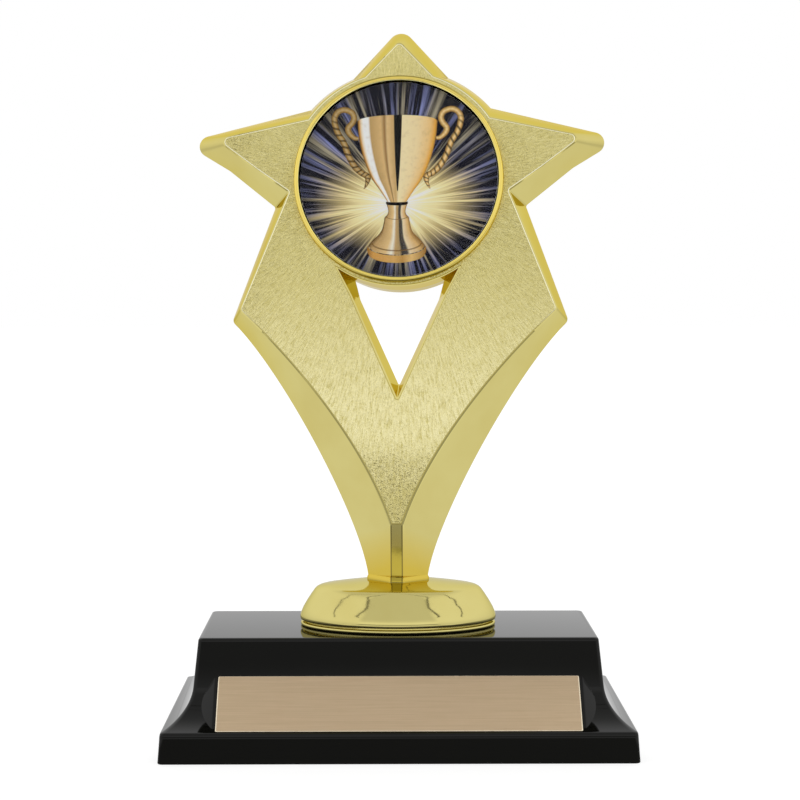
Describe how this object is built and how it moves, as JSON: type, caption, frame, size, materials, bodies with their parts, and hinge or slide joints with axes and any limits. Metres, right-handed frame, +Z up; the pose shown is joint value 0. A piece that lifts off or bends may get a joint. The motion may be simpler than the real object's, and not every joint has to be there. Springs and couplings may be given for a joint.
{
  "type": "star trophy",
  "caption": "Gold star figure with a round picture disc, leaning back on an oval foot, bolted to a black stepped plinth with a sloping blank engraving plate.",
  "frame": {"origin": "centre of the plinth's underside, on the surface that the trophy stands on", "axes": "+Z up, front with the picture disc and plate towards -Y, +X to the viewer's right"},
  "size_m": [0.1152, 0.0644, 0.1797],
  "materials": {
    "gold": "metallised pale gold on moulded plastic, polished, with a hammered raised face",
    "black": "high gloss black moulded plastic",
    "plate_metal": "tan anodised, brushed along its length",
    "picture": null,
    "clear_resin": "clear domed resin",
    "foam": "double-sided foam tape",
    "steel": "zinc plated",
    "brass": "turned",
    "iron": "rough casting",
    "fibreboard": "dark pressed fibreboard",
    "felt": "green felt"
  },
  "bodies": {
    "root": {"star_front_shell": "gold", "star_back_shell": "gold", "pedestal_foot": "gold", "insert_adhesive_pad": "foam", "printed_insert_disc": "picture", "insert_dome_lens": "clear_resin", "neck_insert": "brass", "threaded_rod": "steel", "clamp_washer": "steel", "lock_washer": "steel", "hex_nut": "steel", "base_shell": "black", "ballast_weight": "iron", "bottom_cover": "fibreboard", "felt_pad": "felt", "cover_screw_1": "steel", "cover_screw_2": "steel", "cover_screw_3": "steel", "cover_screw_4": "steel", "engraving_plate": "plate_metal", "plate_adhesive_tape": "foam"}
  },
  "joints": []
}
